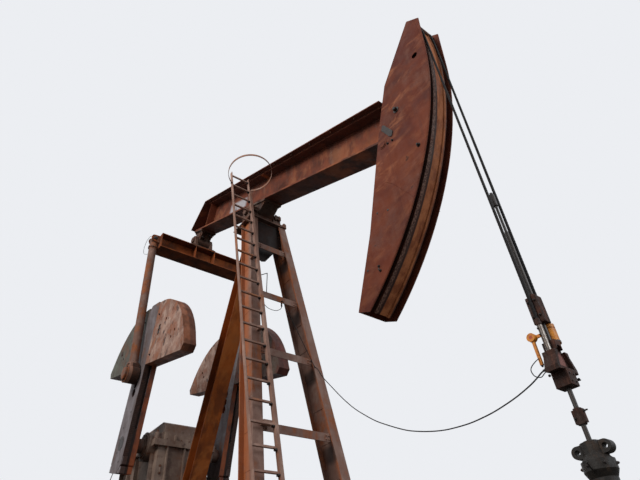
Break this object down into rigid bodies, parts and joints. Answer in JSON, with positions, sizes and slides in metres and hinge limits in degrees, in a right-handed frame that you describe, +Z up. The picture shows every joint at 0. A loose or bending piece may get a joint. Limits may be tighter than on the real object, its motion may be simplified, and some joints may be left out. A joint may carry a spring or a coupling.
{
  "type": "beam pumping unit",
  "caption": "Crank-balanced beam pumping unit on a skid and concrete base, with horsehead, wire bridle, polished rod and wellhead.",
  "frame": {"origin": "on the level ground under the saddle bearing, in the middle of the unit", "axes": "+X towards the well and the horsehead, +Y across the unit away from the ladder, +Z up"},
  "size_m": [11.365, 2.686, 9.4739],
  "materials": {
    "concrete": "cast concrete, pale gray",
    "skid_steel": "weathered paint over rust",
    "reducer_paint": "faded beige paint, dusty",
    "motor_paint": "dull gray paint",
    "post_steel": "faded paint, rust streaks",
    "rear_leg_steel": "orange rust",
    "bearing_iron": "dark rusty castings",
    "beam_steel": "red brown rust",
    "head_steel": "red brown rust with stains",
    "pitman_steel": "faded paint, light rust",
    "crank_paint": "gray paint, rusty edges",
    "weight_iron": "weathered painted castings",
    "cable_black": "greased wire rope",
    "carrier_steel": "brown oily steel",
    "load_cell_yellow": "yellow paint",
    "rod_steel": "oiled steel",
    "wellhead_iron": "dark oily castings"
  },
  "bodies": {
    "post": {"foundation": "concrete", "skid_rail_near": "skid_steel", "skid_rail_far": "skid_steel", "skid_cross_members": "skid_steel", "front_cross_beam": "skid_steel", "reducer_pedestal": "skid_steel", "reducer_case": "reducer_paint", "reducer_cover": "reducer_paint", "belt_guard": "skid_steel", "motor": "motor_paint", "motor_base": "skid_steel", "brake_lever": "skid_steel", "front_leg_near": "post_steel", "front_leg_far": "post_steel", "rear_leg": "rear_leg_steel", "leg_braces": "post_steel", "post_cap": "post_steel", "saddle_bearings": "bearing_iron", "ladder": "post_steel", "ladder_hoop": "post_steel", "casing_head": "wellhead_iron", "pumping_tee": "wellhead_iron", "stuffing_box": "wellhead_iron", "signal_cable": "cable_black"},
    "crank": {"crankshaft": "crank_paint", "crank_arm_near": "crank_paint", "crank_arm_far": "crank_paint", "weight_near_front": "weight_iron", "weight_near_rear": "weight_iron", "weight_far_front": "weight_iron", "weight_far_rear": "weight_iron"},
    "beam": {"walking_beam": "beam_steel", "beam_cover_plate": "beam_steel", "saddle_shaft": "bearing_iron", "tail_bearing": "bearing_iron", "head_plate_near": "head_steel", "head_plate_far": "head_steel", "head_track": "head_steel", "head_frame": "head_steel", "bridle_pin": "head_steel", "bridle_wrap": "cable_black"},
    "pitman_frame": {"equalizer": "beam_steel", "equalizer_shaft": "bearing_iron", "pitman_near": "pitman_steel", "pitman_far": "pitman_steel", "wrist_bearing_near": "bearing_iron", "wrist_bearing_far": "bearing_iron"},
    "rod": {"bridle_lines": "cable_black", "bridle_sockets": "carrier_steel", "carrier_bar": "carrier_steel", "load_cell": "load_cell_yellow", "rod_clamp": "carrier_steel", "polished_rod": "rod_steel"}
  },
  "joints": [
    {"name": "crank_turn", "type": "hinge", "parent": "post", "child": "crank", "pos_m": [-2.97, 0, 3.691], "axis": [0, 1, 0], "range_deg": [0, 168.1]},
    {"name": "beam_rock", "type": "hinge", "parent": "post", "child": "beam", "pos_m": [0, 0, 7.4], "axis": [0, -1, 0], "range_deg": [0, 45.2]},
    {"name": "tail_swing", "type": "hinge", "parent": "beam", "child": "pitman_frame", "pos_m": [-2.81197, 0, 8.65668], "axis": [0, 1, 0], "range_deg": [0, 49.3]},
    {"name": "rod_lift", "type": "slide", "parent": "post", "child": "rod", "axis": [0, 0, 1], "range_m": [0, 3.65], "deforming": ["bridle_lines"]}
  ],
  "couplings": [
    {"joint": "beam_rock", "follows": "crank_turn", "ratio": 0.26853},
    {"joint": "tail_swing", "follows": "crank_turn", "ratio": 0.29292},
    {"joint": "rod_lift", "follows": "crank_turn", "m_per_rad": 1.2406}
  ]
}
